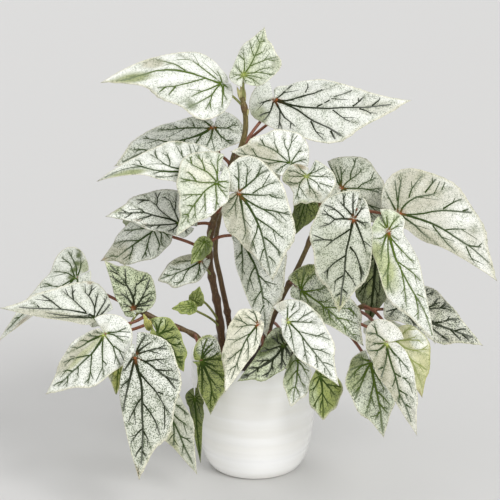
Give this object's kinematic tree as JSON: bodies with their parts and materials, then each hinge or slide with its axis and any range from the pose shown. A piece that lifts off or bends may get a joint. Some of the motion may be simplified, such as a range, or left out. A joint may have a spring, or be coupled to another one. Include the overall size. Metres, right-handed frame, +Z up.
{
  "type": "potted cane begonia",
  "caption": "Potted cane begonia: leaning canes with wing-shaped silver leaves and dark veins, in a plain white glazed pot.",
  "frame": {"origin": "centre of the pot's flat base, on the surface it stands on", "axes": "+Z up, the viewer looks along +Y, +X to the viewer's right"},
  "size_m": [0.4582, 0.2588, 0.4242],
  "materials": {
    "glaze": "gloss",
    "soil": "matte",
    "cane": "satin",
    "leaf_silver": "satin",
    "leaf_green": "satin",
    "leaf_dark": "satin",
    "leaf_young": "satin",
    "leaf_yellow": "satin"
  },
  "bodies": {
    "root": {"pot": "glaze", "soil": "soil", "cane_main": "cane", "cane_back": "cane", "cane_right": "cane", "cane_low_right": "cane", "cane_low_left": "cane", "leaf_top": "leaf_green", "leaf_top_left": "leaf_silver", "leaf_top_right": "leaf_silver", "leaf_upper_left": "leaf_silver", "leaf_left_hook": "leaf_silver", "leaf_front_green": "leaf_green", "leaf_left_spotted": "leaf_silver", "leaf_left_lower": "leaf_silver", "leaf_upper_mid": "leaf_silver", "leaf_front_heart": "leaf_silver", "leaf_front_long": "leaf_silver", "leaf_small_left": "leaf_silver", "leaf_folded": "leaf_young", "leaf_young": "leaf_young", "leaf_young_low": "leaf_young", "leaf_knob": "leaf_silver", "leaf_olive": "leaf_dark", "leaf_right_back": "leaf_silver", "leaf_centre_spotted": "leaf_silver", "leaf_right_big": "leaf_silver", "leaf_right_tongue": "leaf_green", "leaf_mid_small": "leaf_green", "leaf_front_white": "leaf_silver", "leaf_front_left_white": "leaf_silver", "leaf_front_dark": "leaf_dark", "leaf_inner_shade": "leaf_dark", "leaf_right_low": "leaf_dark", "leaf_pot_front": "leaf_green", "leaf_pot_right": "leaf_young", "leaf_right_front": "leaf_silver", "leaf_right_yellow": "leaf_yellow", "leaf_right_hanging": "leaf_green", "leaf_left_white": "leaf_silver", "leaf_left_far": "leaf_silver", "leaf_left_round": "leaf_silver", "leaf_left_front": "leaf_silver", "leaf_left_front_big": "leaf_silver", "leaf_left_green": "leaf_young", "leaf_left_under": "leaf_green", "leaf_left_tip": "leaf_young", "leaf_yellow_bud": "leaf_yellow", "leaf_pot_left_dark": "leaf_dark", "leaf_pot_left_green": "leaf_young", "leaf_back_upper": "leaf_silver", "leaf_back_middle": "leaf_silver", "leaf_back_top_left": "leaf_silver", "leaf_back_left": "leaf_silver", "leaf_back_right": "leaf_silver", "leaf_back_pot": "leaf_silver", "leaf_back_low_right": "leaf_silver"}
  },
  "joints": []
}
